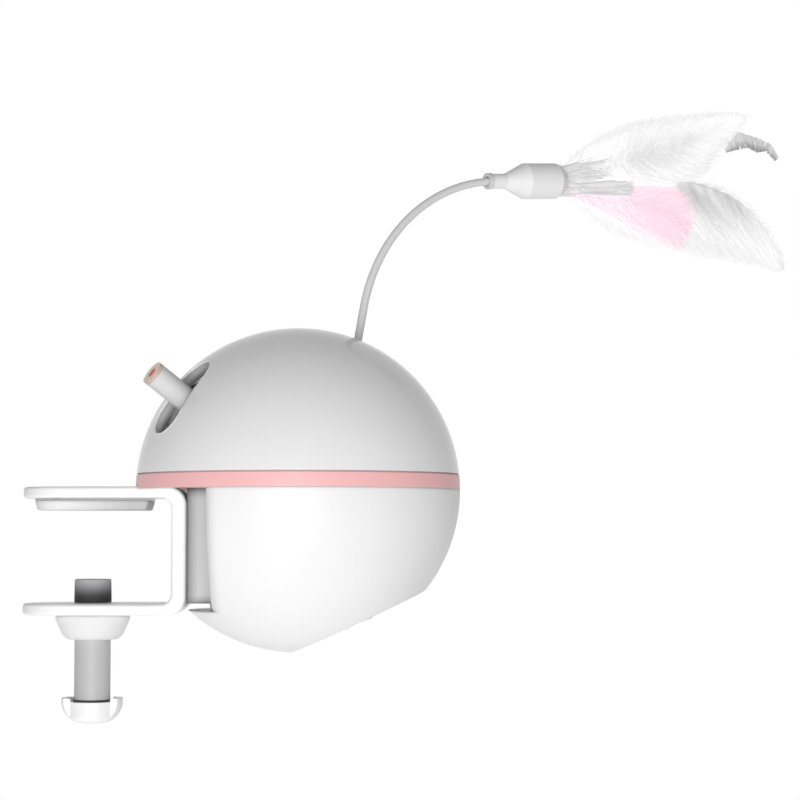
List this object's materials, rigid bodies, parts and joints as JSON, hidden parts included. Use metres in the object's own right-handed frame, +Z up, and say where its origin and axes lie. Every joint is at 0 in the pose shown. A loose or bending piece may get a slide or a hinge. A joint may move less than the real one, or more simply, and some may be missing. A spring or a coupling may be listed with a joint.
{
  "type": "automatic cat feather toy",
  "caption": "Motorised ball with a turning dome, tilting light tube and springy feather wand, on a C-shaped screw clamp for a table edge.",
  "frame": {"origin": "middle of the jaw pad's lower face, on the clamp screw's axis, where the table top lies", "axes": "+Z up along the clamp screw, +X from the clamp to the ball, +Y to the left when looking along +X"},
  "size_m": [0.2524, 0.1478, 0.2057],
  "materials": {
    "white_gloss": "polished moulded shell",
    "clamp_white": "satin moulded plastic",
    "pink_gloss": "polished moulded trim",
    "pad_rubber": "soft matte pad",
    "tip_rubber": "soft matte tip",
    "screw_grey": "satin rod",
    "inner_plastic": "moulded inner part",
    "dark_plastic": "moulded inner part",
    "collar_grey": "small grey ring",
    "gear_plastic": "moulded gear plastic",
    "steel": "plain steel",
    "bearing_brass": "turned brass",
    "board_green": "circuit board",
    "cell_blue": "wrapped cell",
    "light_clear": "frosted light guide",
    "lens_red": "clear red lens",
    "bezel_cream": "cream front ring",
    "wand_grey": "springy translucent rod",
    "holder_white": "satin moulded plastic",
    "feather_white": "soft feather",
    "feather_pink": "soft dyed feather",
    "feather_grey": "soft feather"
  },
  "bodies": {
    "base": {"lower_shell": "white_gloss", "trim_ring": "pink_gloss", "base_deck": "inner_plastic", "deck_screws": "steel", "clamp_bracket": "clamp_white", "bracket_neck": "clamp_white", "bracket_screws": "steel", "jaw_pad": "pad_rubber", "screw_collar": "clamp_white", "panel_cover": "white_gloss", "panel_screws": "steel", "main_board": "board_green", "board_screws": "steel", "charge_socket": "steel", "socket_tongue": "dark_plastic", "tact_switch": "dark_plastic", "status_light": "light_clear", "battery_cell": "cell_blue", "battery_clips": "dark_plastic", "drive_motor": "steel", "motor_bracket": "steel", "motor_screws": "steel", "spindle": "inner_plastic", "spindle_screws": "steel", "thrust_washer": "bearing_brass", "retaining_ring": "steel", "slip_ring": "dark_plastic"},
    "dome": {"dome_shell": "white_gloss", "turntable": "inner_plastic", "turntable_screws": "steel", "dome_gear": "gear_plastic", "hub_bush": "bearing_brass", "slip_ring_bridge": "dark_plastic", "laser_yoke": "inner_plastic", "laser_pin": "steel", "wand_socket": "white_gloss"},
    "pinion": {"drive_pinion": "gear_plastic", "motor_shaft": "steel"},
    "laser": {"laser_carrier": "inner_plastic", "laser_tube": "white_gloss", "laser_module": "bearing_brass", "laser_lens": "lens_red", "laser_bezel": "bezel_cream"},
    "wand": {"wand_rod": "wand_grey"},
    "feather_head": {"feather_holder": "holder_white", "holder_collar": "collar_grey", "quill_plug": "gear_plastic", "feather_upper": "feather_white", "feather_lower": "feather_white", "feather_pink": "feather_pink", "feather_tip": "feather_grey"},
    "clamp_tip": {"tip_cap": "tip_rubber"},
    "clamp_screw": {"clamp_rod": "screw_grey", "clamp_knob": "clamp_white"},
    "button": {"power_button": "white_gloss"}
  },
  "joints": [
    {"name": "dome_turn", "type": "hinge", "parent": "base", "child": "dome", "pos_m": [0.0633, 0, 0.0064], "axis": [0, 0, 1], "continuous": true},
    {"name": "pinion_turn", "type": "hinge", "parent": "base", "child": "pinion", "pos_m": [0.0633, 0.024, 0.0064], "axis": [0, 0, 1], "continuous": true},
    {"name": "laser_tilt", "type": "hinge", "parent": "dome", "child": "laser", "pos_m": [0.04627, -0.00983, 0.02017], "axis": [-0.5, 0.866, 0], "range_deg": [-12, 12]},
    {"name": "wand_pull", "type": "slide", "parent": "dome", "child": "wand", "axis": [0.1712, 0.0988, 0.9803], "range_m": [0, 0.014]},
    {"name": "holder_pull", "type": "slide", "parent": "wand", "child": "feather_head", "axis": [0.8634, 0.4985, 0.0785], "range_m": [0, 0.0075]},
    {"name": "clamp_travel", "type": "slide", "parent": "base", "child": "clamp_tip", "axis": [0, 0, 1], "range_m": [0, 0.0176]},
    {"name": "screw_turn", "type": "hinge", "parent": "clamp_tip", "child": "clamp_screw", "pos_m": [0, 0, -0.03], "axis": [0, 0, 1], "range_deg": [0, 3170]},
    {"name": "button_press", "type": "slide", "parent": "base", "child": "button", "axis": [-0.4179, 0, 0.9085], "range_m": [0, 0.0008], "stiffness_N_per_m": 600}
  ],
  "couplings": [
    {"joint": "pinion_turn", "follows": "dome_turn", "ratio": -4},
    {"joint": "screw_turn", "follows": "clamp_travel", "rad_per_m": 3141.6}
  ]
}
